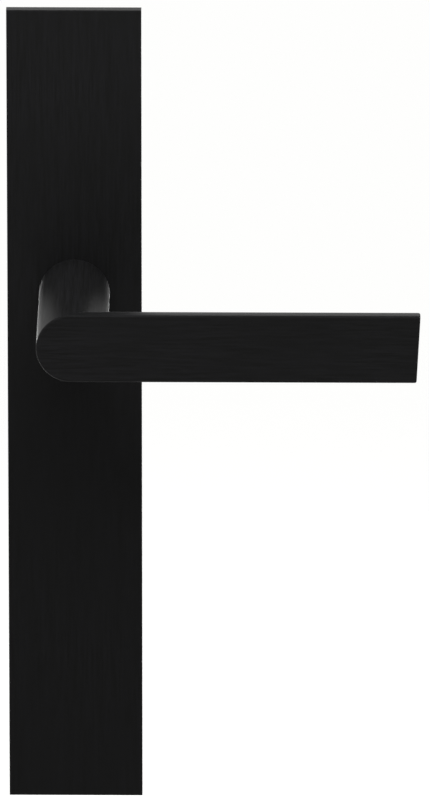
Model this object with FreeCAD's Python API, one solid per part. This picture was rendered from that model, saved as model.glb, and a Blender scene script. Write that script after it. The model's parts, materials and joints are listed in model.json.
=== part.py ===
"""Door lever handle on a long narrow plate, for one side of a door.

Millimetres. The origin is on the lever's turning axis, at the face of the door. +Y goes into the door, -Y
comes out to the hand, +X runs along the lever and +Z is up. A positive turn about +Y takes the lever down.
"""
import FreeCAD, Part
import math
import os

V = FreeCAD.Vector
ALONG_Y = V(0, 1, 0)
ORIGIN = V(0, 0, 0)

# Plate: a folded sheet cover over a flat base plate.
PLATE_WIDTH = 40.0
PLATE_ABOVE_AXIS = 88.5
PLATE_BELOW_AXIS = 160.5
COVER_SHEET = 1.0
COVER_EDGE_RADIUS = 0.3
BASE_THICKNESS = 2.0
BASE_TO_RIM_GAP = 0.6

# Lever: a round neck that turns into a grip of the same bar, milled flat in front.
BAR_RADIUS = 10.5
GRIP_PROJECTION = 50.0
FLAT_IN_FRONT_OF_BAR_AXIS = 1.5
GRIP_REACH = 102.3
GRIP_END_SLANT = 3.0
LEVER_EDGE_RADIUS = 0.6

# Drive: square spindle in a turned hub, pressed into the neck.
SPINDLE_SQUARE = 8.0
SPINDLE_CHAMFER = 0.8
SPINDLE_BEYOND_DOOR_FACE = 60.0
HUB_WALL_AT_CORNERS = 1.272
HUB_WALL_AT_FLATS = 1.75
HUB_STEP = 1.0
HUB_DEPTH_IN_NECK = 24.0
GRUB_RADIUS = 3.0
GRUB_FROM_SHOULDER = 10.5
GRUB_SINK = 0.4

# Spring cassette, sunk into the door behind the base plate.
CASSETTE_WALL = 1.5
CASSETTE_FLOOR = 1.6
LID_THICKNESS = 1.4
BOSS_RADIUS = 2.2
BOSS_CENTRE_TO_OUTSIDE = 3.0
BOSS_ANGLES = (18.0, 90.0, 162.0)
DRIVER_THICKNESS = 3.5
DRIVER_RING_WIDTH = 2.0
ARM_WIDTH = 5.0
LEVER_TRAVEL = 45.0
STOP_PIN_RADIUS = 1.5
STOP_PIN_BEYOND_DRIVER = 1.1
BUSH_WALL = 1.0
BUSH_FLANGE_WIDTH = 0.7
BUSH_FLANGE_PROUD = 0.15
SPRING_WIRE = 1.4
SPRING_FULL_TURNS = 2
SPRING_GAP_BETWEEN_TURNS = 0.2
SPRING_LEG_IN_DRIVER = 2.2

# Retaining stack on the hub's tail, behind the lid.
WASHER_WIDTH = 2.6
WASHER_THICKNESS = 0.7
SPRING_WASHER_WIDTH = 2.3
SPRING_WASHER_SHEET = 0.4
SPRING_WASHER_RISE = 0.6
CIRCLIP_THICKNESS = 1.0
CIRCLIP_WIDTH = 1.6
CIRCLIP_EAR_RADIUS = 1.5
CIRCLIP_OPENING = 50.0
GROOVE_DEPTH = 0.4
HUB_BEYOND_CIRCLIP = 1.0

# Fastenings to the door and inside the handle.
BOLT_RADIUS = 2.0
BOLT_HEAD_RADIUS = 3.7
BOLT_LENGTH = 52.0
BOLT_PLAIN_BEYOND_LUG = 1.0
LUG_RADIUS = 3.0
LUG_LENGTH = 8.0
WOOD_SCREW_RADIUS = 1.75
WOOD_SCREW_HEAD_RADIUS = 3.4
WOOD_SCREW_LENGTH = 25.0
WOOD_SCREW_POINT = 4.0
WOOD_SCREW_PLAIN = 4.0
WOOD_SCREW_FROM_END = 12.0
ROLLED_SHANK_INSET = 0.25
SMALL_SCREW_RADIUS = 1.25
SMALL_SCREW_HEAD_RADIUS = 2.3
HOUSING_SCREW_LENGTH = 6.0
LID_SCREW_LENGTH = 4.5
CLIP_SHEET = 0.4
CLIP_SPAN = 16.0
CLIP_HEIGHT = 1.6
CLIP_NOTCH_DEPTH = 2.0
CLIP_FROM_END = 40.0

# Clearances.
TURNING_FIT = 0.05
PRESS_GAP = 0.02
SEAT_GAP = 0.05
AXIAL_GAP = 0.15
SHOULDER_GAP = 0.3
SCREW_HOLE_GAP = 0.15
COVER_HOLE_GAP = 0.1
HEAD_TO_BUSH = 0.55
LUG_TO_CASSETTE = 1.0
SPRING_TO_HUB = 0.9
SPRING_TO_LID = 0.45
DRIVER_TO_WALL = 0.6
STOP_PIN_TO_WALL = 0.4

# Places along the axis that follow from the sizes above.
PLATE_FRONT_Y = -(COVER_SHEET + BASE_THICKNESS)
BASE_FRONT_Y = -BASE_THICKNESS
GRIP_FRONT_Y = PLATE_FRONT_Y - GRIP_PROJECTION
BAR_AXIS_Y = GRIP_FRONT_Y + FLAT_IN_FRONT_OF_BAR_AXIS
SHOULDER_Y = PLATE_FRONT_Y - SHOULDER_GAP
HUB_FRONT_Y = SHOULDER_Y - HUB_DEPTH_IN_NECK
GRUB_Y = SHOULDER_Y - GRUB_FROM_SHOULDER
HUB_STEP_Y = CASSETTE_FLOOR + AXIAL_GAP
DRIVER_Y = HUB_STEP_Y + SEAT_GAP
DRIVER_BACK_Y = DRIVER_Y + DRIVER_THICKNESS
SPRING_START_Y = DRIVER_BACK_Y + SEAT_GAP + AXIAL_GAP + SPRING_WIRE / 2

# Radii that follow, from the spindle outwards.
SOCKET_HALF = SPINDLE_SQUARE / 2 + SEAT_GAP
HUB_ACROSS_FLATS = 2 * (SOCKET_HALF + HUB_WALL_AT_FLATS)
HUB_TAIL_RADIUS = SOCKET_HALF * math.sqrt(2) + HUB_WALL_AT_CORNERS
HUB_RADIUS = HUB_TAIL_RADIUS + HUB_STEP
FRONT_BUSH_RADIUS = HUB_RADIUS + BUSH_WALL
REAR_BUSH_RADIUS = HUB_TAIL_RADIUS + BUSH_WALL
BUSH_FLANGE_RADIUS = FRONT_BUSH_RADIUS + BUSH_FLANGE_WIDTH
SPRING_MEAN_RADIUS = HUB_TAIL_RADIUS + SPRING_TO_HUB + SPRING_WIRE / 2
BOSS_CIRCLE = FRONT_BUSH_RADIUS + HEAD_TO_BUSH + SMALL_SCREW_HEAD_RADIUS + SCREW_HOLE_GAP
CASSETTE_RADIUS = BOSS_CIRCLE + BOSS_CENTRE_TO_OUTSIDE
CASSETTE_ROOM = CASSETTE_RADIUS - CASSETTE_WALL
ARM_REACH = CASSETTE_ROOM - DRIVER_TO_WALL
STOP_PIN_CIRCLE = CASSETTE_ROOM - STOP_PIN_TO_WALL - STOP_PIN_RADIUS
BOLT_SPACING = 2 * (CASSETTE_RADIUS + LUG_TO_CASSETTE + LUG_RADIUS)

# Angles are counted from +X towards +Z. The driver's arm hangs, and swings evenly either side of plumb.
ARM_AT_REST = -90.0 + LEVER_TRAVEL / 2
STOP_PIN_OFFSET = math.degrees(
    math.asin((ARM_WIDTH / 2 + STOP_PIN_RADIUS + SEAT_GAP) / STOP_PIN_CIRCLE)
)
STOP_PIN_ANGLES = (ARM_AT_REST + STOP_PIN_OFFSET, ARM_AT_REST - LEVER_TRAVEL - STOP_PIN_OFFSET)


# The spring's fixed leg lies against the first boss. Its turns set the cassette's depth and what is behind.
ANCHOR_ANGLE = BOSS_ANGLES[0] + math.degrees(
    math.asin((BOSS_RADIUS + SPRING_WIRE / 2 + PRESS_GAP) / BOSS_CIRCLE)
)
SPRING_TURNS = SPRING_FULL_TURNS + (ANCHOR_ANGLE - ARM_AT_REST) / 360
SPRING_PITCH = SPRING_WIRE + SPRING_GAP_BETWEEN_TURNS
SPRING_END_Y = SPRING_START_Y + SPRING_PITCH * SPRING_TURNS
CASSETTE_DEPTH = SPRING_END_Y + SPRING_WIRE / 2 + SPRING_TO_LID
LID_BACK_Y = CASSETTE_DEPTH + LID_THICKNESS
WASHER_Y = LID_BACK_Y + 2 * AXIAL_GAP
SPRING_WASHER_Y = WASHER_Y + WASHER_THICKNESS + SEAT_GAP
CIRCLIP_Y = SPRING_WASHER_Y + SPRING_WASHER_SHEET + SPRING_WASHER_RISE + SEAT_GAP
HUB_BACK_Y = CIRCLIP_Y + CIRCLIP_THICKNESS + HUB_BEYOND_CIRCLIP


def disc(radius, y0, y1, x=0.0, z=0.0):
    """Solid round bar along Y."""
    return Part.makeCylinder(radius, y1 - y0, V(x, y0, z), ALONG_Y)


def tube(outer, inner, y0, y1):
    """Round tube along Y, on the turning axis."""
    return disc(outer, y0, y1).cut(disc(inner, y0, y1))


def taper(radius0, radius1, y0, y1, x=0.0, z=0.0):
    """Solid cone along Y."""
    return Part.makeCone(radius0, radius1, y1 - y0, V(x, y0, z), ALONG_Y)


def block(x0, x1, y0, y1, z0, z1):
    """Rectangular block between two corners."""
    return Part.makeBox(x1 - x0, y1 - y0, z1 - z0, V(x0, y0, z0))


def polar(radius, angle):
    """X and Z of a point at an angle from +X towards +Z."""
    return radius * math.cos(math.radians(angle)), radius * math.sin(math.radians(angle))


def turned(shape, angle):
    """Copy of a shape turned about the lever axis, from +X towards +Z."""
    copy = shape.copy()
    copy.rotate(ORIGIN, ALONG_Y, -angle)
    return copy


def prism_y(points, y0, y1):
    """Prism along Y on an outline of X and Z points."""
    corners = [V(x, y0, z) for x, z in points]
    outline = Part.makePolygon(corners + corners[:1])
    return Part.Face(outline).extrude(V(0, y1 - y0, 0))


def hexagon(across_flats, y0, y1, x=0.0, z=0.0):
    """Hexagonal prism along Y, for a key socket."""
    radius = across_flats / math.sqrt(3)
    corners = [polar(radius, 60 * i) for i in range(6)]
    return prism_y([(x + cx, z + cz) for cx, cz in corners], y0, y1)


def double_d(radius, across_flats, y0, y1):
    """Round bar along Y with two flats, which face up and down."""
    flats = block(-radius, radius, y0, y1, -across_flats / 2, across_flats / 2)
    return disc(radius, y0, y1).common(flats)


def countersink(radius, head_radius, face_y, depth, x, z, into=1):
    """Cutter for a countersunk screw that enters at face_y and goes along Y, or against it with into=-1."""
    hole = radius + SCREW_HOLE_GAP
    mouth = head_radius + SCREW_HOLE_GAP
    if into > 0:
        cone = taper(mouth, hole, face_y, face_y + mouth - hole, x, z)
        return cone.fuse(disc(hole, face_y, face_y + depth, x, z))
    cone = taper(hole, mouth, face_y - (mouth - hole), face_y, x, z)
    return cone.fuse(disc(hole, face_y - depth, face_y, x, z))


def countersunk_screw(radius, head_radius, length, x, z, point=0.0, plain=0.0):
    """Countersunk screw along +Y with its head's face at y = 0.

    A point is the length of its sharp tip. Plain is where its thread starts, behind a thinner shank.
    """
    shank = radius - ROLLED_SHANK_INSET if plain else radius
    head = taper(head_radius, shank, 0, head_radius - shank, x, z)
    thread = disc(radius, plain, length - point, x, z)
    screw = head.fuse(thread)
    if plain:
        screw = screw.fuse(disc(shank, 0, plain, x, z))
    if point:
        tip = taper(radius, radius / 6, length - point, length, x, z)
        screw = screw.fuse(tip)
    key = hexagon(head_radius * 0.7, 0, head_radius * 0.38, x, z)
    return screw.cut(key).removeSplitter()


def folded_cover():
    """Front shell: one sheet with its four edges folded back to the door, and a hole for the bush."""
    half = PLATE_WIDTH / 2
    outer = block(-half, half, PLATE_FRONT_Y, 0, -PLATE_BELOW_AXIS, PLATE_ABOVE_AXIS)
    front_edges = [e for e in outer.Edges if all(abs(v.Y - PLATE_FRONT_Y) < 1e-6 for v in e.Vertexes)]
    outer = outer.makeFillet(COVER_EDGE_RADIUS, front_edges)
    inner = block(
        -half + COVER_SHEET, half - COVER_SHEET, BASE_FRONT_Y, 0,
        -PLATE_BELOW_AXIS + COVER_SHEET, PLATE_ABOVE_AXIS - COVER_SHEET,
    )
    hole = disc(BUSH_FLANGE_RADIUS + COVER_HOLE_GAP, PLATE_FRONT_Y, BASE_FRONT_Y)
    return outer.cut(inner).cut(hole)


def clip_seats():
    """Side and height of each of the four cover clips."""
    heights = (PLATE_ABOVE_AXIS - CLIP_FROM_END, -PLATE_BELOW_AXIS + CLIP_FROM_END)
    return [(side, z) for side in (-1, 1) for z in heights]


def base_edges():
    """Half width, bottom and top of the base plate inside the cover's rim."""
    inset = COVER_SHEET + BASE_TO_RIM_GAP
    return PLATE_WIDTH / 2 - inset, -PLATE_BELOW_AXIS + inset, PLATE_ABOVE_AXIS - inset


def wood_screw_heights():
    """Heights of the two wood screws, near the plate's ends."""
    return PLATE_ABOVE_AXIS - WOOD_SCREW_FROM_END, -PLATE_BELOW_AXIS + WOOD_SCREW_FROM_END


def base_plate():
    """Flat plate that is screwed to the door and carries the cassette and the cover."""
    half, bottom, top = base_edges()
    plate = block(-half, half, BASE_FRONT_Y, 0, bottom, top)
    plate = plate.cut(disc(FRONT_BUSH_RADIUS + PRESS_GAP, BASE_FRONT_Y, 0))
    for side in (-1, 1):
        z = side * BOLT_SPACING / 2
        plate = plate.cut(countersink(BOLT_RADIUS, BOLT_HEAD_RADIUS, BASE_FRONT_Y, BASE_THICKNESS, 0, z))
    for z in wood_screw_heights():
        cutter = countersink(WOOD_SCREW_RADIUS, WOOD_SCREW_HEAD_RADIUS, BASE_FRONT_Y, BASE_THICKNESS, 0, z)
        plate = plate.cut(cutter)
    for angle in BOSS_ANGLES:
        x, z = polar(BOSS_CIRCLE, angle)
        cutter = countersink(SMALL_SCREW_RADIUS, SMALL_SCREW_HEAD_RADIUS, BASE_FRONT_Y, BASE_THICKNESS, x, z)
        plate = plate.cut(cutter)
    reach = CLIP_SPAN / 2 + SCREW_HOLE_GAP
    for side, z in clip_seats():
        notch = block(half - CLIP_NOTCH_DEPTH, half, BASE_FRONT_Y, 0, z - reach, z + reach)
        plate = plate.cut(notch if side > 0 else notch.mirror(ORIGIN, V(1, 0, 0)))
    return plate


def cover_clips():
    """Four bowed leaf springs in the base plate's edge, which press on the cover's rim."""
    half = base_edges()[0]
    crest = PLATE_WIDTH / 2 - COVER_SHEET - PRESS_GAP
    seat = half - CLIP_NOTCH_DEPTH + SEAT_GAP
    bow = crest - seat - CLIP_SHEET
    radius = ((CLIP_SPAN / 2) ** 2 + bow ** 2) / (2 * bow)
    y0 = -(BASE_THICKNESS + CLIP_HEIGHT) / 2
    y1 = y0 + CLIP_HEIGHT
    centre = crest - radius
    clips = []
    for side, z in clip_seats():
        ring = disc(radius, y0, y1, centre, z).cut(disc(radius - CLIP_SHEET, y0, y1, centre, z))
        leaf = ring.common(block(seat, crest, y0, y1, z - CLIP_SPAN / 2, z + CLIP_SPAN / 2))
        clips.append(leaf if side > 0 else leaf.mirror(ORIGIN, V(1, 0, 0)))
    return Part.makeCompound(clips)


def wood_screws():
    """Two countersunk wood screws through the base plate's ends."""
    screws = []
    for z in wood_screw_heights():
        screw = countersunk_screw(
            WOOD_SCREW_RADIUS, WOOD_SCREW_HEAD_RADIUS, WOOD_SCREW_LENGTH, 0, z,
            WOOD_SCREW_POINT, WOOD_SCREW_PLAIN,
        )
        screws.append(screw.translated(V(0, BASE_FRONT_Y + SEAT_GAP, 0)))
    return Part.makeCompound(screws)


def through_bolts():
    """Two countersunk bolts that pass through the door to the plate on its other side."""
    plain = BASE_THICKNESS - SEAT_GAP + LUG_LENGTH + BOLT_PLAIN_BEYOND_LUG
    bolts = []
    for side in (-1, 1):
        z = side * BOLT_SPACING / 2
        bolt = countersunk_screw(BOLT_RADIUS, BOLT_HEAD_RADIUS, BOLT_LENGTH, 0, z, plain=plain)
        bolts.append(bolt.translated(V(0, BASE_FRONT_Y + SEAT_GAP, 0)))
    return Part.makeCompound(bolts)


def locating_lugs():
    """Two short tubes around the bolts, which locate the plate in the door's holes."""
    lugs = []
    for side in (-1, 1):
        lug = tube(LUG_RADIUS, BOLT_RADIUS + SCREW_HOLE_GAP, 0, LUG_LENGTH)
        lugs.append(lug.translated(V(0, 0, side * BOLT_SPACING / 2)))
    return Part.makeCompound(lugs)


def front_bush():
    """Flanged bush that the hub turns in, held in the base plate and the cassette's floor."""
    body = disc(FRONT_BUSH_RADIUS, BASE_FRONT_Y, CASSETTE_FLOOR)
    flange = disc(BUSH_FLANGE_RADIUS, PLATE_FRONT_Y - BUSH_FLANGE_PROUD, BASE_FRONT_Y)
    bore = disc(HUB_RADIUS + TURNING_FIT, PLATE_FRONT_Y - BUSH_FLANGE_PROUD, CASSETTE_FLOOR)
    return body.fuse(flange).cut(bore).removeSplitter()


def rear_bush():
    """Plain bush in the lid for the hub's tail. It stands proud of the lid for the thrust washer."""
    return tube(REAR_BUSH_RADIUS, HUB_TAIL_RADIUS + TURNING_FIT, CASSETTE_DEPTH, LID_BACK_Y + AXIAL_GAP)


def cassette_housing():
    """Die-cast cup with a boss for each pair of screws."""
    cup = disc(CASSETTE_RADIUS, 0, CASSETTE_DEPTH)
    room = disc(CASSETTE_ROOM, CASSETTE_FLOOR, CASSETTE_DEPTH)
    for angle in BOSS_ANGLES:
        x, z = polar(BOSS_CIRCLE, angle)
        room = room.cut(disc(BOSS_RADIUS, CASSETTE_FLOOR, CASSETTE_DEPTH, x, z))
    cup = cup.cut(room).cut(disc(FRONT_BUSH_RADIUS + PRESS_GAP, 0, CASSETTE_FLOOR))
    for angle in BOSS_ANGLES:
        x, z = polar(BOSS_CIRCLE, angle)
        cup = cup.cut(disc(SMALL_SCREW_RADIUS + PRESS_GAP, 0, CASSETTE_DEPTH, x, z))
    for angle in STOP_PIN_ANGLES:
        x, z = polar(STOP_PIN_CIRCLE, angle)
        cup = cup.cut(disc(STOP_PIN_RADIUS + PRESS_GAP, 0, CASSETTE_FLOOR, x, z))
    return cup


def cassette_lid():
    """Round lid that closes the cassette behind."""
    lid = disc(CASSETTE_RADIUS, CASSETTE_DEPTH, LID_BACK_Y)
    lid = lid.cut(disc(REAR_BUSH_RADIUS + PRESS_GAP, CASSETTE_DEPTH, LID_BACK_Y))
    for angle in BOSS_ANGLES:
        x, z = polar(BOSS_CIRCLE, angle)
        cutter = countersink(
            SMALL_SCREW_RADIUS, SMALL_SCREW_HEAD_RADIUS, LID_BACK_Y, LID_THICKNESS, x, z, into=-1
        )
        lid = lid.cut(cutter)
    return lid


def small_screws(length, face_y, into):
    """Three small countersunk screws on the bosses, whose heads lie at face_y."""
    screws = []
    for angle in BOSS_ANGLES:
        x, z = polar(BOSS_CIRCLE, angle)
        screw = countersunk_screw(SMALL_SCREW_RADIUS, SMALL_SCREW_HEAD_RADIUS, length, x, z)
        if into < 0:
            screw = screw.mirror(ORIGIN, ALONG_Y)
        screws.append(screw.translated(V(0, face_y + into * SEAT_GAP, 0)))
    return Part.makeCompound(screws)


def stop_pins():
    """Two steel pins in the cassette's floor, where the driver's arm stops."""
    pins = []
    for angle in STOP_PIN_ANGLES:
        x, z = polar(STOP_PIN_CIRCLE, angle)
        pins.append(disc(STOP_PIN_RADIUS, SEAT_GAP, DRIVER_BACK_Y + STOP_PIN_BEYOND_DRIVER, x, z))
    return Part.makeCompound(pins)


def return_spring():
    """Torsion spring: its front leg is in the driver's arm and its rear leg rests on a boss."""
    wire_radius = SPRING_WIRE / 2
    height = SPRING_END_Y - SPRING_START_Y
    helix = Part.makeHelix(SPRING_PITCH, height, SPRING_MEAN_RADIUS, 0, True)
    profile = Part.Wire([Part.makeCircle(wire_radius, V(SPRING_MEAN_RADIUS, 0, 0), ALONG_Y)])
    coil = Part.Wire(helix).makePipeShell([profile], True, True)
    # The helix climbs +Z. This turn lays it along +Y, so that it winds from +X towards +Z.
    coil.rotate(ORIGIN, V(1, 0, 0), -90)
    coil = turned(coil.translated(V(0, SPRING_START_Y, 0)), ARM_AT_REST)
    x0, z0 = polar(SPRING_MEAN_RADIUS, ARM_AT_REST)
    x1, z1 = polar(SPRING_MEAN_RADIUS, ANCHOR_ANGLE)
    rear_reach = ARM_REACH - SPRING_MEAN_RADIUS
    pieces = (
        Part.makeSphere(wire_radius, V(x0, SPRING_START_Y, z0)),
        disc(wire_radius, DRIVER_BACK_Y - SPRING_LEG_IN_DRIVER, SPRING_START_Y, x0, z0),
        Part.makeSphere(wire_radius, V(x1, SPRING_END_Y, z1)),
        Part.makeCylinder(wire_radius, rear_reach, V(x1, SPRING_END_Y, z1), V(x1, 0, z1)),
    )
    for piece in pieces:
        coil = coil.fuse(piece)
    return coil


def mitre_side(keep_neck):
    """Half of space on one side of the mitre between the neck and the grip."""
    size = 4 * (GRIP_REACH + GRIP_PROJECTION)
    start = 0 if keep_neck else -size
    half = block(-size, size, start, start + size, -size, size)
    half.rotate(ORIGIN, V(0, 0, 1), 45)
    return half.translated(V(0, BAR_AXIS_Y, 0))


def grub_hole(radius):
    """Cutter for the grub screw, from the hub's socket down through the neck."""
    return Part.makeCylinder(radius, 2 * BAR_RADIUS, V(0, GRUB_Y, 0), V(0, 0, -1))


def front_edges(shape):
    """Edges of a shape that lie in the plane of the lever's flat front."""
    return [e for e in shape.Edges if e.BoundBox.YMax < GRIP_FRONT_Y + 1e-4]


def lever_neck():
    """Round neck, mitred to the grip, with a blind bore for the hub and a tapped hole below."""
    neck = disc(BAR_RADIUS, GRIP_FRONT_Y, SHOULDER_Y)
    neck = neck.makeFillet(LEVER_EDGE_RADIUS, front_edges(neck))
    neck = neck.common(mitre_side(True))
    neck = neck.cut(disc(HUB_RADIUS + PRESS_GAP, HUB_FRONT_Y - SEAT_GAP, SHOULDER_Y))
    return neck.cut(grub_hole(GRUB_RADIUS + PRESS_GAP))


def lever_grip():
    """Grip that the hand holds: the same bar milled flat in front, with its free end cut at a slant."""
    size = 4 * (GRIP_REACH + GRIP_PROJECTION)
    start = V(-GRIP_REACH, BAR_AXIS_Y, 0)
    grip = Part.makeCylinder(BAR_RADIUS, 3 * GRIP_REACH, start, V(1, 0, 0))
    grip = grip.cut(block(-size, size, -size, GRIP_FRONT_Y, -size, size))
    beyond = block(0, size, -size, size, -size, size)
    beyond.rotate(ORIGIN, ALONG_Y, GRIP_END_SLANT)
    grip = grip.cut(beyond.translated(V(GRIP_REACH, 0, 0))).removeSplitter()
    end_edges = [e for e in grip.Edges if e.BoundBox.XMin > GRIP_REACH - BAR_RADIUS]
    long_edges = [e for e in front_edges(grip) if e.BoundBox.XMin < 0]
    grip = grip.makeFillet(LEVER_EDGE_RADIUS, long_edges + end_edges)
    return grip.common(mitre_side(False))


def drive_hub():
    """Turned hub with a square socket right through, two flats for the driver and a circlip groove."""
    front = disc(HUB_RADIUS, HUB_FRONT_Y, HUB_STEP_Y)
    tail = double_d(HUB_TAIL_RADIUS, HUB_ACROSS_FLATS, HUB_STEP_Y, HUB_BACK_Y)
    hub = front.fuse(tail)
    groove = tube(
        HUB_TAIL_RADIUS + 1, HUB_TAIL_RADIUS - GROOVE_DEPTH,
        CIRCLIP_Y - PRESS_GAP, CIRCLIP_Y + CIRCLIP_THICKNESS + PRESS_GAP,
    )
    socket = block(-SOCKET_HALF, SOCKET_HALF, HUB_FRONT_Y, HUB_BACK_Y, -SOCKET_HALF, SOCKET_HALF)
    return hub.cut(groove).cut(socket).cut(grub_hole(GRUB_RADIUS + PRESS_GAP))


def spindle():
    """Square bar that works the latch and joins the lever on the other side."""
    half = SPINDLE_SQUARE / 2
    bar = block(-half, half, HUB_FRONT_Y, SPINDLE_BEYOND_DOOR_FACE, -half, half)
    end_edges = [
        e for e in bar.Edges
        if all(abs(v.Y - e.Vertexes[0].Y) < 1e-6 for v in e.Vertexes)
    ]
    return bar.makeChamfer(SPINDLE_CHAMFER, end_edges)


def grub_screw():
    """Socket grub screw up through the neck and the hub on to the spindle."""
    top = -SPINDLE_SQUARE / 2 - SEAT_GAP
    length = BAR_RADIUS - GRUB_SINK + top
    screw = Part.makeCylinder(GRUB_RADIUS, length, V(0, 0, 0), V(0, 1, 0))
    screw = screw.cut(hexagon(GRUB_RADIUS, length / 2, length))
    screw.rotate(ORIGIN, V(1, 0, 0), -90)
    return screw.translated(V(0, GRUB_Y, top))


def driver():
    """Cam on the hub's flats. Its arm pushes the spring and meets the stop pins."""
    y0 = DRIVER_Y
    y1 = DRIVER_BACK_Y
    arm = block(0, ARM_REACH, y0, y1, -ARM_WIDTH / 2, ARM_WIDTH / 2)
    ring = disc(HUB_TAIL_RADIUS + DRIVER_RING_WIDTH, y0, y1)
    hub_hole = double_d(HUB_TAIL_RADIUS + SEAT_GAP, HUB_ACROSS_FLATS + 2 * SEAT_GAP, y0, y1)
    x, z = polar(SPRING_MEAN_RADIUS, ARM_AT_REST)
    leg_hole = disc(SPRING_WIRE / 2 + SEAT_GAP, y0, y1, x, z)
    return ring.fuse(turned(arm, ARM_AT_REST)).cut(hub_hole).cut(leg_hole).removeSplitter()


def thrust_washer():
    """Flat washer that runs on the rear bush."""
    outer = HUB_TAIL_RADIUS + WASHER_WIDTH
    return tube(outer, HUB_TAIL_RADIUS + SEAT_GAP, WASHER_Y, WASHER_Y + WASHER_THICKNESS)


def spring_washer():
    """Curved washer that takes up the play behind the lid."""
    radius = HUB_TAIL_RADIUS + SPRING_WASHER_WIDTH
    crest = SPRING_WASHER_Y + SPRING_WASHER_SHEET + SPRING_WASHER_RISE
    ring = tube(radius, HUB_TAIL_RADIUS + 2 * SEAT_GAP, SPRING_WASHER_Y, crest)
    bend = radius ** 2 / (2 * SPRING_WASHER_RISE)
    start = V(-2 * radius, crest - bend, 0)
    outer = Part.makeCylinder(bend, 4 * radius, start, V(1, 0, 0))
    inner = Part.makeCylinder(bend - SPRING_WASHER_SHEET, 4 * radius, start, V(1, 0, 0))
    return ring.common(outer.cut(inner))


def circlip():
    """Open retaining ring in the hub's groove, with two eyed ears."""
    y1 = CIRCLIP_Y + CIRCLIP_THICKNESS
    inner = HUB_TAIL_RADIUS - GROOVE_DEPTH + PRESS_GAP
    outer = HUB_TAIL_RADIUS + CIRCLIP_WIDTH
    opening = [polar(2 * outer, CIRCLIP_OPENING / 2), (0, 0), polar(2 * outer, -CIRCLIP_OPENING / 2)]
    ring = tube(outer, inner, CIRCLIP_Y, y1).cut(prism_y(opening, CIRCLIP_Y, y1))
    for side in (-1, 1):
        x, z = polar(outer - CIRCLIP_EAR_RADIUS / 2, side * CIRCLIP_OPENING / 2)
        ring = ring.fuse(disc(CIRCLIP_EAR_RADIUS, CIRCLIP_Y, y1, x, z))
        ring = ring.cut(disc(CIRCLIP_EAR_RADIUS / 2, CIRCLIP_Y, y1, x, z))
    return ring.cut(disc(inner, CIRCLIP_Y, y1)).removeSplitter()


def main():
    """Writes one STEP file for each node."""
    os.makedirs("parts", exist_ok=True)
    nodes = {
        "cover_plate": folded_cover(),
        "base_plate": base_plate(),
        "cover_clips": cover_clips(),
        "wood_screws": wood_screws(),
        "through_bolts": through_bolts(),
        "locating_lugs": locating_lugs(),
        "front_bush": front_bush(),
        "rear_bush": rear_bush(),
        "cassette_housing": cassette_housing(),
        "cassette_lid": cassette_lid(),
        "housing_screws": small_screws(HOUSING_SCREW_LENGTH, BASE_FRONT_Y, 1),
        "lid_screws": small_screws(LID_SCREW_LENGTH, LID_BACK_Y, -1),
        "stop_pins": stop_pins(),
        "return_spring": return_spring(),
        "lever_neck": lever_neck(),
        "lever_grip": lever_grip(),
        "drive_hub": drive_hub(),
        "spindle": spindle(),
        "grub_screw": grub_screw(),
        "spring_driver": driver(),
        "thrust_washer": thrust_washer(),
        "spring_washer": spring_washer(),
        "circlip": circlip(),
    }
    for node, shape in nodes.items():
        shape.exportStep(f"parts/{node}.step")
        good = shape.isValid() and shape.Volume > 0
        print(f"{node:18s} solids {len(shape.Solids)} volume {shape.Volume:9.1f} {'ok' if good else 'BAD'}")


main()
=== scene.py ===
"""Looks of a door lever handle on a long narrow plate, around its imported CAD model.

Metres, in the CAD's frame: the origin is on the lever's turning axis at the door's face, -Y comes out to the
hand, +X runs along the lever and +Z is up.
"""
import json
import math

import bpy
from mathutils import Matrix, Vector
from mathutils.geometry import interpolate_bezier


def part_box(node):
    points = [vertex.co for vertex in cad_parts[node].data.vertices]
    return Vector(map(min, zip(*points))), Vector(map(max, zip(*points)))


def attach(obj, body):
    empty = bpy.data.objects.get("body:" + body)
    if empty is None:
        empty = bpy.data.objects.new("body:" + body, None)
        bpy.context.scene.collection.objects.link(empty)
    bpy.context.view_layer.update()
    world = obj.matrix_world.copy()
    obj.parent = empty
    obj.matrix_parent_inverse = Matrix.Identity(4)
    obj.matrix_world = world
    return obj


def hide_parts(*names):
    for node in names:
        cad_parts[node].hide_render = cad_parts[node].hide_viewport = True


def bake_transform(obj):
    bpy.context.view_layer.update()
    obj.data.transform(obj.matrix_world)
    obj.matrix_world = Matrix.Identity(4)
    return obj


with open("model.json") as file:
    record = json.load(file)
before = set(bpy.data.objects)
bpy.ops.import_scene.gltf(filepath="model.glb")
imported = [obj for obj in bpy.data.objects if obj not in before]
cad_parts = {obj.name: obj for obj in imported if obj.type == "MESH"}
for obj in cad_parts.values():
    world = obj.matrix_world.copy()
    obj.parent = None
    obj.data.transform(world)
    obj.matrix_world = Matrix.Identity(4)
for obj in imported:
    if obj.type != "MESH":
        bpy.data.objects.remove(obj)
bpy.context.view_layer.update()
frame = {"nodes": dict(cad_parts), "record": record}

MM = 0.001

# Studio: the floor fades out into the pale world between two distances from its middle.
FLOOR_BELOW_PLATE = 450 * MM
FLOOR_HALF = 2.0
FLOOR_FADES_FROM = 0.8
FLOOR_FADES_TO = 1.8
STUDIO_WHITE = "#fefefd"
STUDIO_GREY = "#8c8c8c"
SKY_PALE_UP_TO = math.sin(math.radians(25))
SKY_GREY_FROM = math.sin(math.radians(60))
WORLD_STRENGTH = 1.0

# Patterns: most of a noise lies between the mottle's ends, and a wave texture has 20 waves in a unit.
MOTTLE_ENDS = (0.3, 0.7)
STREAK_ENDS = (0.4, 0.6)
WAVES_PER_UNIT = 20
SCRATCHES_TO_STREAKS = 0.35
WORN_BELOW_LIKENESS = 0.8
FACES_FRONT_ABOVE = 0.8
DIAGONAL = math.sqrt(0.5)

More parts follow.
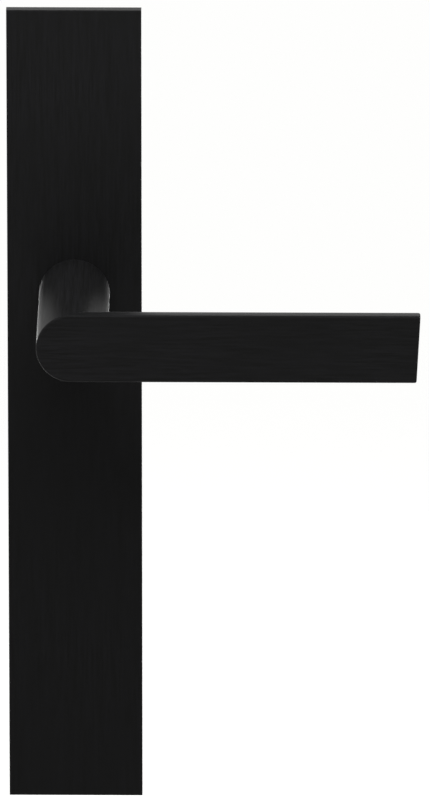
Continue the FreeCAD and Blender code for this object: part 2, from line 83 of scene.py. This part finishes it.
# Camera, worked out for the object's own sizes.
CAMERA_PLACE = Vector((0.0858, -4.503, 1.589))
CAMERA_TILT = math.radians(90 - 19.83)
CAMERA_HEADING = math.radians(0.56)
CAMERA_LENS = 721.6
CAMERA_SENSOR = 36.0
CAMERA_SEES_TO = 40.0

# Screws: ISO coarse threads on the through bolts, a coarse single thread on the wood screws. Depths and roots
# are shares of the pitch or the radius, and the key socket's sizes are shares of the head's radius.
BOLT_RADIUS = 2.0 * MM
BOLT_PITCH = 0.7 * MM
BOLT_PLAIN = 10.95 * MM
WOOD_SCREW_RADIUS = 1.75 * MM
WOOD_SCREW_PITCH = 1.6 * MM
WOOD_SCREW_PLAIN = 4.0 * MM
WOOD_SCREW_POINT = 4.0 * MM
SHANK_INSET = 0.25 * MM
ISO_THREAD_DEPTH = 0.61
WOOD_SCREW_ROOT = 0.65
THREAD_FLANK = 1.3
TIP_SIZE = 0.15
HEAD_RIM = 0.12 * MM
RIM_FRONT = 0.6
RIM_BACK = 1.4
SOCKET_TO_HEAD = 0.7
SOCKET_DEPTH_TO_HEAD = 0.38
SOCKET_FLOOR = 0.05
SOCKET_CHAMFER = 0.1 * MM
SOCKET_CHAMFER_WIDTH = 0.16 * MM
THREAD_RUNS_OUT = 0.3 * MM
STEPS_PER_TURN = 8
RING_SIDES = 48
SMOOTH_UP_TO = math.radians(50)

# Return spring: two turns and a bit of round wire. Angles go from +X towards +Z. A round bend's handles reach
# a little over half way to its corner.
SPRING_WIRE_RADIUS = 0.7 * MM
SPRING_MEAN_RADIUS = 8.6 * MM
SPRING_PITCH = 1.6 * MM
SPRING_FRONT_ANGLE = math.radians(-67.5)
SPRING_REAR_ANGLE = math.radians(2 * 360 + 32.08)
SPRING_REAR_LEG = 4.3 * MM
SPRING_BEND = 0.9 * MM
SPRING_STEPS = 160
BEND_STEPS = 8
ROUND_BEND = 0.55


def linear(hex_colour):
    """Linear RGBA of an sRGB hex colour."""
    channels = []
    for start in (1, 3, 5):
        c = int(hex_colour[start:start + 2], 16) / 255
        channels.append(c / 12.92 if c <= 0.04045 else ((c + 0.055) / 1.055) ** 2.4)
    return (*channels, 1.0)


def add(tree, kind, inputs=None, **settings):
    """Adds a node. Settings are its own properties, and each input gets a value or a link from a socket."""
    new = tree.nodes.new(kind)
    for name, value in settings.items():
        setattr(new, name, value)
    for name, value in (inputs or {}).items():
        if isinstance(value, bpy.types.NodeSocket):
            tree.links.new(value, new.inputs[name])
        else:
            new.inputs[name].default_value = value
    return new


def new_material(name):
    """An empty material, its node tree and the place of a point in metres on the unmoved piece."""
    material = bpy.data.materials.new(name)
    material.use_nodes = True
    tree = material.node_tree
    tree.nodes.clear()
    place = add(tree, "ShaderNodeTexCoord").outputs["Object"]
    return material, tree, place


def close(tree, shader):
    """Joins a shader to the material's output."""
    add(tree, "ShaderNodeOutputMaterial", {"Surface": shader.outputs["BSDF"]})


def per_mm(size_mm):
    """Scale of a pattern whose features are size_mm across, for places in metres."""
    return 1 / (size_mm * MM)


def grain_scale(along, grain_mm, streak_mm):
    """Scale of a pattern whose grains are grain_mm wide and run for streak_mm in one direction."""
    return tuple(per_mm(streak_mm if axis == along else grain_mm) for axis in "xyz")


def worn_edge(tree, width_mm):
    """How near a point is to a sharp outside or inside edge, from 0 to 1."""
    rounded = add(tree, "ShaderNodeBevel", {"Radius": width_mm * MM}, samples=6)
    flat = add(tree, "ShaderNodeNewGeometry")
    likeness = add(
        tree, "ShaderNodeVectorMath",
        {0: rounded.outputs["Normal"], 1: flat.outputs["Normal"]}, operation="DOT_PRODUCT",
    )
    edge = add(
        tree, "ShaderNodeMapRange",
        {"Value": likeness.outputs["Value"], "From Min": 1.0,
         "From Max": WORN_BELOW_LIKENESS, "To Min": 0.0, "To Max": 1.0},
    )
    return edge.outputs["Result"]


def clear_of_mitre(tree, place, width_mm):
    """1 away from the welded mitre between the neck and the grip, and 0 where it is ground flush."""
    low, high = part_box("lever_grip")
    bar_axis_y = high.y - (high.z - low.z) / 2
    across = add(
        tree, "ShaderNodeVectorMath", {0: place, 1: (DIAGONAL, -DIAGONAL, 0)}, operation="DOT_PRODUCT"
    )
    offset = add(
        tree, "ShaderNodeMath", {0: across.outputs["Value"], 1: bar_axis_y * DIAGONAL}, operation="ADD"
    )
    distance = add(tree, "ShaderNodeMath", {0: offset.outputs["Value"]}, operation="ABSOLUTE")
    clear = add(
        tree, "ShaderNodeMath", {0: distance.outputs["Value"], 1: width_mm * MM}, operation="GREATER_THAN"
    )
    return clear.outputs["Value"]


def brushing(tree, place, along, front_along, width_mm, length_mm):
    """Short streaks along one axis, or along another on faces that look along Y."""
    scale = grain_scale(along, width_mm, length_mm)
    if front_along:
        outward = add(tree, "ShaderNodeTexCoord").outputs["Normal"]
        along_y = add(
            tree, "ShaderNodeVectorMath", {0: outward, 1: (0, -1, 0)}, operation="DOT_PRODUCT"
        )
        is_front = add(
            tree, "ShaderNodeMath", {0: along_y.outputs["Value"], 1: FACES_FRONT_ABOVE},
            operation="GREATER_THAN",
        )
        front_scale = grain_scale(front_along, width_mm, length_mm)
        scale = add(
            tree, "ShaderNodeMix", {0: is_front.outputs["Value"], 4: scale, 5: front_scale},
            data_type="VECTOR",
        ).outputs[1]
    drawn = add(tree, "ShaderNodeVectorMath", {0: place, 1: scale}, operation="MULTIPLY")
    return add(
        tree, "ShaderNodeTexNoise",
        {"Vector": drawn.outputs["Vector"], "Scale": 1.0, "Detail": 3.0, "Roughness": 0.6},
    ).outputs["Fac"]


def black_brushed_steel(name, tones, along, front_along=None, welded=False):
    """Stainless steel brushed one way, under a thin satin black coating.

    The brushing shows through the coating as short faint streaks. It is near black where it is seen square
    on, and pale at a low angle, where the coating's fine satin skin scatters the light.
    """
    material, tree, place = new_material("black_brushed_steel_" + name)
    # Real brush lines are about 0.05 mm wide. They are drawn 0.35 and 0.9 mm wide, so that they show.
    streaks = brushing(tree, place, along, front_along, 0.35, 9.0)
    scratches = brushing(tree, place, along, front_along, 0.9, 30.0)
    cloud = add(tree, "ShaderNodeTexNoise", {"Vector": place, "Scale": per_mm(45.0), "Detail": 2.0})
    grain = add(tree, "ShaderNodeMix", {0: SCRATCHES_TO_STREAKS, 2: streaks, 3: scratches}).outputs[0]
    coat = add(tree, "ShaderNodeValToRGB", {"Fac": grain})
    for element, position, tone in zip(coat.color_ramp.elements, STREAK_ENDS, tones):
        element.position = position
        element.color = linear(tone)
    clouded = add(
        tree, "ShaderNodeMix", {0: cloud.outputs["Fac"], 6: coat.outputs["Color"], 7: linear(tones[0])},
        data_type="RGBA",
    ).outputs[2]
    edge = worn_edge(tree, 0.3)
    if welded:
        clear = clear_of_mitre(tree, place, 0.8)
        edge = add(tree, "ShaderNodeMath", {0: edge, 1: clear}, operation="MULTIPLY").outputs["Value"]
    colour = add(
        tree, "ShaderNodeMix", {0: edge, 6: clouded, 7: linear("#141415")}, data_type="RGBA"
    ).outputs[2]
    roughness = add(
        tree, "ShaderNodeMapRange",
        {"Value": grain, "From Min": MOTTLE_ENDS[0], "From Max": MOTTLE_ENDS[1],
         "To Min": 0.38, "To Max": 0.48},
    )
    bump = add(tree, "ShaderNodeBump", {"Height": grain, "Strength": 0.12, "Distance": 0.04 * MM})
    shader = add(
        tree, "ShaderNodeBsdfPrincipled",
        {
            "Base Color": colour, "Roughness": roughness.outputs["Result"],
            "Normal": bump.outputs["Normal"], "Specular IOR Level": 0.04,
            "Sheen Weight": 0.2, "Sheen Roughness": 0.12,
        },
    )
    close(tree, shader)
    return material


def surface(tree, mottle, tones, edge_mm, edge_tone, gloss, roughness, relief, relief_mm, shader_settings):
    """Puts a finish together: tones and worn edges, roughness that follows the gloss, and a raised relief.

    Relief is a pattern with its strength, and relief_mm is how deep it would be at full strength.
    """
    ramp = add(tree, "ShaderNodeValToRGB", {"Fac": mottle})
    for element, position, tone in zip(ramp.color_ramp.elements, MOTTLE_ENDS, tones):
        element.position = position
        element.color = linear(tone)
    colour = add(
        tree, "ShaderNodeMix",
        {0: worn_edge(tree, edge_mm), 6: ramp.outputs["Color"], 7: linear(edge_tone)}, data_type="RGBA",
    ).outputs[2]
    rough = add(
        tree, "ShaderNodeMapRange",
        {"Value": gloss, "From Min": MOTTLE_ENDS[0], "From Max": MOTTLE_ENDS[1],
         "To Min": roughness[0], "To Max": roughness[1]},
    )
    pattern, strength = relief
    bump = add(tree, "ShaderNodeBump", {"Height": pattern, "Strength": strength, "Distance": relief_mm * MM})
    shader = add(
        tree, "ShaderNodeBsdfPrincipled",
        {"Base Color": colour, "Roughness": rough.outputs["Result"], "Normal": bump.outputs["Normal"],
         **shader_settings},
    )
    close(tree, shader)


def zinc_plated_steel():
    """Pressed and rolled steel with a clear-passivated zinc plate: pale, a little blue, softly mottled."""
    material, tree, place = new_material("zinc_plated_steel")
    mottle = add(
        tree, "ShaderNodeTexNoise", {"Vector": place, "Scale": per_mm(5.0), "Detail": 3.0}
    ).outputs["Fac"]
    grit = add(
        tree, "ShaderNodeTexNoise", {"Vector": place, "Scale": per_mm(0.5), "Detail": 3.0}
    ).outputs["Fac"]
    surface(
        tree, mottle, ("#a8acb1", "#b5b8bc"), 0.3, "#cfd1d3",
        mottle, (0.24, 0.36), (grit, 0.15), 0.03, {"Metallic": 1.0},
    )
    return material


def turned_steel():
    """Free-cutting steel as the lathe leaves it: oiled grey, with fine rings across the turning axis."""
    material, tree, place = new_material("turned_steel")
    # Real tool marks are about 0.1 mm apart. They are drawn 0.4 mm apart, so that they show.
    rings = add(
        tree, "ShaderNodeTexWave",
        {"Vector": place, "Scale": per_mm(0.4) / WAVES_PER_UNIT, "Distortion": 0.4, "Detail": 2.0},
        wave_type="BANDS", bands_direction="Y",
    ).outputs["Fac"]
    oil = add(
        tree, "ShaderNodeTexNoise", {"Vector": place, "Scale": per_mm(4.0), "Detail": 3.0}
    ).outputs["Fac"]
    surface(
        tree, oil, ("#8f9092", "#b4b5b6"), 0.25, "#cfd0d0",
        oil, (0.2, 0.34), (rings, 0.3), 0.03, {"Metallic": 1.0},
    )
    return material


def acetal():
    """Natural acetal, injection moulded: waxy off-white, with a satin skin that lets a little light in."""
    material, tree, place = new_material("acetal")
    skin = add(
        tree, "ShaderNodeTexNoise", {"Vector": place, "Scale": per_mm(0.4), "Detail": 3.0}
    ).outputs["Fac"]
    flow = add(
        tree, "ShaderNodeTexNoise", {"Vector": place, "Scale": per_mm(5.0), "Detail": 2.0}
    ).outputs["Fac"]
    surface(
        tree, flow, ("#dedcd2", "#eae8e0"), 0.2, "#f4f3ee", skin, (0.38, 0.5), (skin, 0.1), 0.02,
        {"IOR": 1.48, "Subsurface Weight": 0.1, "Subsurface Scale": 1 * MM},
    )
    return material


def die_cast_zinc():
    """Zinc alloy as it leaves the die: dull blue-grey, with a cloudy skin and a fine sandy texture."""
    material, tree, place = new_material("die_cast_zinc")
    cloud = add(
        tree, "ShaderNodeTexNoise", {"Vector": place, "Scale": per_mm(8.0), "Detail": 6.0}
    ).outputs["Fac"]
    sand = add(
        tree, "ShaderNodeTexNoise", {"Vector": place, "Scale": per_mm(0.35), "Detail": 4.0}
    ).outputs["Fac"]
    surface(
        tree, cloud, ("#85888c", "#a3a6a9"), 0.4, "#bfc1c3",
        cloud, (0.42, 0.6), (sand, 0.4), 0.04, {"Metallic": 1.0},
    )
    return material


def spring_steel():
    """Drawn and rolled spring steel under a film of oil: mid grey with a brown cast and a fine skin."""
    material, tree, place = new_material("spring_steel")
    skin = add(
        tree, "ShaderNodeTexNoise", {"Vector": place, "Scale": per_mm(0.5), "Detail": 3.0}
    ).outputs["Fac"]
    oil = add(
        tree, "ShaderNodeTexNoise", {"Vector": place, "Scale": per_mm(3.0), "Detail": 3.0}
    ).outputs["Fac"]
    surface(
        tree, oil, ("#6f6c68", "#8f8d8a"), 0.15, "#a9a7a4",
        skin, (0.25, 0.4), (skin, 0.15), 0.02, {"Metallic": 1.0},
    )
    return material


def black_oxide_steel():
    """Hardened steel blackened in a hot salt bath: charcoal with a blue cast, worn grey on its edges."""
    material, tree, place = new_material("black_oxide_steel")
    bath = add(
        tree, "ShaderNodeTexNoise", {"Vector": place, "Scale": per_mm(2.5), "Detail": 4.0}
    ).outputs["Fac"]
    surface(
        tree, bath, ("#2b2c2f", "#3b3c40"), 0.15, "#6b6b6d",
        bath, (0.35, 0.5), (bath, 0.1), 0.02, {"Metallic": 1.0},
    )
    return material


def studio_paper():
    """Matt seamless studio paper: an even pale tone with a faint fibre.

    It fades out far from the object, and it isn't seen from underneath.
    """
    material, tree, place = new_material("studio_paper")
    fibre = add(tree, "ShaderNodeTexNoise", {"Vector": place, "Scale": per_mm(2.0), "Detail": 3.0})
    paper = add(tree, "ShaderNodeValToRGB", {"Fac": fibre.outputs["Fac"]})
    paper.color_ramp.elements[0].color = linear("#f7f7f6")
    paper.color_ramp.elements[1].color = linear("#fbfbfa")
    shader = add(
        tree, "ShaderNodeBsdfPrincipled",
        {"Base Color": paper.outputs["Color"], "Roughness": 0.9, "Specular IOR Level": 0.1},
    )
    unseen = add(tree, "ShaderNodeBsdfTransparent")
    distance = add(tree, "ShaderNodeVectorMath", {0: place}, operation="LENGTH")
    faded = add(
        tree, "ShaderNodeMapRange",
        {"Value": distance.outputs["Value"], "From Min": FLOOR_FADES_FROM, "From Max": FLOOR_FADES_TO,
         "To Min": 0.0, "To Max": 1.0},
        interpolation_type="SMOOTHSTEP",
    )
    below = add(tree, "ShaderNodeNewGeometry").outputs["Backfacing"]
    hidden = add(tree, "ShaderNodeMath", {0: faded.outputs["Result"], 1: below}, operation="MAXIMUM")
    sheet = add(
        tree, "ShaderNodeMixShader",
        {0: hidden.outputs["Value"], 1: shader.outputs["BSDF"], 2: unseen.outputs["BSDF"]},
    )
    add(tree, "ShaderNodeOutputMaterial", {"Surface": sheet.outputs["Shader"]})
    return material


def finish_nodes(nodes, slots):
    """Gives every CAD node the finish that its slot in the record names."""
    finishes = {
        "zinc_plated_steel": zinc_plated_steel(),
        "turned_steel": turned_steel(),
        "acetal": acetal(),
        "die_cast_zinc": die_cast_zinc(),
        "spring_steel": spring_steel(),
        "black_oxide_steel": black_oxide_steel(),
    }
    # The plate is brushed up and down, and the bar along its length. Its flat front is brushed in one go.
    brushed = {
        "cover_plate": black_brushed_steel("plate", ("#070707", "#0b0b0c"), "z"),
        "lever_grip": black_brushed_steel("grip", ("#070707", "#0e0e0f"), "x", welded=True),
        "lever_neck": black_brushed_steel("neck", ("#070707", "#0e0e0f"), "y", front_along="x", welded=True),
    }
    for name, node in nodes.items():
        finish = brushed.get(name) or finishes[slots[name]]
        node.data.materials.clear()
        node.data.materials.append(finish)
    return finishes


def ring(radius, y, lift=None):
    """Points of a circle round the screw's axis. Lift changes the radius with the angle."""
    points = []
    for i in range(RING_SIDES):
        angle = 2 * math.pi * i / RING_SIDES
        r = radius + (lift(angle) if lift else 0)
        points.append((r * math.cos(angle), y, r * math.sin(angle)))
    return points


def key_ring(across_flats, y):
    """Points of a hexagon with as many points as the rings have, for a key socket."""
    points = []
    for i in range(RING_SIDES):
        angle = 2 * math.pi * i / RING_SIDES
        from_flat = (angle + math.pi / 6) % (math.pi / 3) - math.pi / 6
        r = across_flats / 2 / math.cos(from_flat)
        points.append((r * math.cos(angle), y, r * math.sin(angle)))
    return points


def threaded_rings(radius, root, pitch, y0, y1, point):
    """Rings of a helical thread from y0 to y1. Point is the length over which it runs down to its tip."""
    count = math.ceil((y1 - y0) / pitch * STEPS_PER_TURN)
    rings = []
    for i in range(count + 1):
        y = y0 + (y1 - y0) * i / count
        to_tip = min(1.0, (y1 - y) / point) if point else 1.0
        fade = min(1.0, (y - y0) / pitch, (y1 - y) / pitch if not point else 1.0)
        crest = root + (radius - root) * fade
        size = TIP_SIZE + (1 - TIP_SIZE) * to_tip

        def lift(angle, y=y, crest=crest, size=size):
            turns = (y / pitch - angle / (2 * math.pi)) % 1.0
            height = 1 - abs(2 * turns - 1)
            sharp = min(1.0, height * THREAD_FLANK)
            return size * (crest - root) * sharp

        rings.append(ring(root * size, y, lift))
    return rings


def screw_rings(radius, head_radius, length, pitch, plain, point):
    """Rings of a countersunk screw with a key socket, from the socket's floor round to the tip."""
    shank = radius - SHANK_INSET
    root = WOOD_SCREW_ROOT * radius if point else radius - ISO_THREAD_DEPTH * pitch
    rim = HEAD_RIM
    socket = head_radius * SOCKET_TO_HEAD
    depth = head_radius * SOCKET_DEPTH_TO_HEAD
    rings = [
        key_ring(socket * SOCKET_FLOOR, depth),
        key_ring(socket, depth),
        key_ring(socket, SOCKET_CHAMFER),
        key_ring(socket + SOCKET_CHAMFER_WIDTH, 0.0),
        ring(head_radius - rim, 0.0),
        ring(head_radius, rim * RIM_FRONT),
        ring(head_radius - rim * RIM_FRONT, rim * RIM_BACK),
        ring(shank + rim, head_radius - shank - rim),
        ring(shank, head_radius - shank + rim),
        ring(shank, plain - THREAD_RUNS_OUT),
    ]
    return rings + threaded_rings(radius, root, pitch, plain, length, point)


def loft(vertices, faces, rings, origin):
    """Adds a skin through the rings, closed at both ends, with its origin moved to a place."""
    start = len(vertices)
    for points in rings:
        vertices.extend(Vector(p) + origin for p in points)
    for i in range(len(rings) - 1):
        for j in range(RING_SIDES):
            a = start + i * RING_SIDES + j
            b = start + i * RING_SIDES + (j + 1) % RING_SIDES
            faces.append((a, b, b + RING_SIDES, a + RING_SIDES))
    last = start + (len(rings) - 1) * RING_SIDES
    faces.append(tuple(reversed(range(start, start + RING_SIDES))))
    faces.append(tuple(range(last, last + RING_SIDES)))


def new_piece(name, vertices, faces, finish):
    """A finished piece from a mesh, smooth but for its real edges, with its finish."""
    mesh = bpy.data.meshes.new(name)
    mesh.from_pydata([tuple(v) for v in vertices], [], faces)
    mesh.shade_smooth()
    mesh.set_sharp_from_angle(angle=SMOOTH_UP_TO)
    mesh.materials.append(finish)
    piece = bpy.data.objects.new(name, mesh)
    bpy.context.scene.collection.objects.link(piece)
    return piece


def threaded_screws(name, node, radius, pitch, plain, point, finish):
    """Two countersunk screws with real threads, in place of the two plain ones of a CAD node."""
    low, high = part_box(node)
    head_radius = (high.x - low.x) / 2
    rings = screw_rings(radius, head_radius, high.y - low.y, pitch, plain, point)
    vertices = []
    faces = []
    for z in (low.z + head_radius, high.z - head_radius):
        loft(vertices, faces, rings, Vector((0, low.y, z)))
    piece = new_piece(name, vertices, faces, finish)
    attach(piece, "plate")
    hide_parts(node)


def on_coil(share, start_y, end_y):
    """A point on the middle line of the spring's coil, from its front end at 0 to its rear end at 1."""
    angle = SPRING_FRONT_ANGLE + share * (SPRING_REAR_ANGLE - SPRING_FRONT_ANGLE)
    y = start_y + share * (end_y - start_y)
    return Vector((SPRING_MEAN_RADIUS * math.cos(angle), y, SPRING_MEAN_RADIUS * math.sin(angle)))


def bend(before, corner, after):
    """Points of a rounded bend in the wire."""
    return interpolate_bezier(
        before, before.lerp(corner, ROUND_BEND), after.lerp(corner, ROUND_BEND), after, BEND_STEPS
    )


def spring_line(leg_y, start_y, end_y):
    """Middle line of the spring: a leg along Y, the coil, and a leg that points outward."""
    front = on_coil(0, start_y, end_y)
    rear = on_coil(1, start_y, end_y)
    outward = Vector((rear.x, 0, rear.z)).normalized()
    bend_share = SPRING_BEND / (SPRING_MEAN_RADIUS * (SPRING_REAR_ANGLE - SPRING_FRONT_ANGLE))
    coil = []
    for i in range(SPRING_STEPS + 1):
        share = bend_share + (1 - 2 * bend_share) * i / SPRING_STEPS
        coil.append(on_coil(share, start_y, end_y))
    line = [Vector((front.x, leg_y, front.z))]
    line += bend(front - Vector((0, SPRING_BEND, 0)), front, coil[0])
    line += coil[1:-1]
    line += bend(coil[-1], rear, rear + outward * SPRING_BEND)
    line.append(rear + outward * SPRING_REAR_LEG)
    return line


def wire_rings(line, radius):
    """Rings of a round wire along a line of points."""
    rings = []
    side = Vector((1, 0, 0))
    for i, point in enumerate(line):
        ahead = (line[min(i + 1, len(line) - 1)] - line[max(i - 1, 0)]).normalized()
        side = (side - ahead * side.dot(ahead)).normalized()
        other = ahead.cross(side)
        points = []
        for j in range(RING_SIDES):
            angle = 2 * math.pi * j / RING_SIDES
            points.append(point + radius * (side * math.cos(angle) + other * math.sin(angle)))
        rings.append(points)
    return rings


def wound_spring(finish):
    """Torsion spring, built in its resting shape: on the real handle its front leg turns with the driver, and
    its rear leg stays.
    """
    low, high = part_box("return_spring")
    turns = (SPRING_REAR_ANGLE - SPRING_FRONT_ANGLE) / (2 * math.pi)
    end_y = high.y - SPRING_WIRE_RADIUS
    start_y = end_y - turns * SPRING_PITCH
    vertices = []
    faces = []
    rings = wire_rings(spring_line(low.y, start_y, end_y), SPRING_WIRE_RADIUS)
    loft(vertices, faces, rings, Vector((0, 0, 0)))
    piece = new_piece("return_spring_wound", vertices, faces, finish)
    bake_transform(piece)
    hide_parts("return_spring")


def floor():
    """Wide pale floor, well below the plate's lower end."""
    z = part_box("cover_plate")[0].z - FLOOR_BELOW_PLATE
    corners = [(-FLOOR_HALF, -FLOOR_HALF, z), (FLOOR_HALF, -FLOOR_HALF, z),
               (FLOOR_HALF, FLOOR_HALF, z), (-FLOOR_HALF, FLOOR_HALF, z)]
    mesh = bpy.data.meshes.new("floor")
    mesh.from_pydata(corners, [], [(0, 1, 2, 3)])
    mesh.materials.append(studio_paper())
    piece = bpy.data.objects.new("floor", mesh)
    bpy.context.scene.collection.objects.link(piece)


def softbox(name, place, aim, size, power, mirrored=False):
    """Rectangular area light at a place, turned towards another. Bright metal mirrors it only if told to."""
    light = bpy.data.lights.new(name, "AREA")
    light.shape = "RECTANGLE"
    light.size = size[0]
    light.size_y = size[1]
    light.energy = power
    lamp = bpy.data.objects.new(name, light)
    lamp.location = place
    lamp.rotation_euler = (Vector(aim) - Vector(place)).to_track_quat("-Z", "Y").to_euler()
    lamp.visible_camera = False
    lamp.visible_glossy = mirrored
    bpy.context.scene.collection.objects.link(lamp)


def sky(world):
    """Pale all round at the height of the object, and grey overhead."""
    tree = world.node_tree
    tree.nodes.clear()
    height = add(
        tree, "ShaderNodeSeparateXYZ", {"Vector": add(tree, "ShaderNodeTexCoord").outputs["Generated"]}
    )
    overhead = add(
        tree, "ShaderNodeMapRange",
        {"Value": height.outputs["Z"], "From Min": SKY_PALE_UP_TO, "From Max": SKY_GREY_FROM,
         "To Min": 0.0, "To Max": 1.0},
        interpolation_type="SMOOTHSTEP",
    )
    tone = add(
        tree, "ShaderNodeMix",
        {0: overhead.outputs["Result"], 6: linear(STUDIO_WHITE), 7: linear(STUDIO_GREY)}, data_type="RGBA",
    )
    background = add(tree, "ShaderNodeBackground", {"Color": tone.outputs[2], "Strength": WORLD_STRENGTH})
    add(tree, "ShaderNodeOutputWorld", {"Surface": background.outputs["Background"]})


def studio():
    """Pale world, a tall soft light on either side, a small one in front and a wide one behind."""
    world = bpy.data.worlds.new("studio")
    world.use_nodes = True
    sky(world)
    bpy.context.scene.world = world
    centre = (0.04, -0.02, -0.03)
    softbox("left_softbox", (-1.3, 0.35, 0.6), centre, (1.0, 1.2), 28)
    softbox("right_softbox", (1.4, 0.35, 0.6), centre, (1.0, 1.2), 24)
    softbox("front_softbox", (0.0, -0.26, 0.4), centre, (0.4, 0.3), 10)
    softbox("back_softbox", (0.2, 1.8, 0.8), centre, (1.6, 0.7), 7, mirrored=True)
    bpy.context.scene.view_settings.view_transform = "Standard"


def camera():
    """Long-lens camera, above the handle and a little to its right."""
    data = bpy.data.cameras.new("camera")
    data.sensor_width = CAMERA_SENSOR
    data.lens = CAMERA_LENS
    data.clip_end = CAMERA_SEES_TO
    view = bpy.data.objects.new("camera", data)
    view.location = CAMERA_PLACE
    view.rotation_euler = (CAMERA_TILT, 0, CAMERA_HEADING)
    bpy.context.scene.collection.objects.link(view)
    bpy.context.scene.camera = view


slots = {part["node"]: part["material_slot"] for part in frame["record"]["subparts"]}
finishes = finish_nodes(frame["nodes"], slots)
threaded_screws(
    "through_bolts_threaded", "through_bolts",
    BOLT_RADIUS, BOLT_PITCH, BOLT_PLAIN, 0, finishes["zinc_plated_steel"],
)
threaded_screws(
    "wood_screws_threaded", "wood_screws",
    WOOD_SCREW_RADIUS, WOOD_SCREW_PITCH, WOOD_SCREW_PLAIN, WOOD_SCREW_POINT, finishes["zinc_plated_steel"],
)
wound_spring(finishes["spring_steel"])
floor()
studio()
camera()
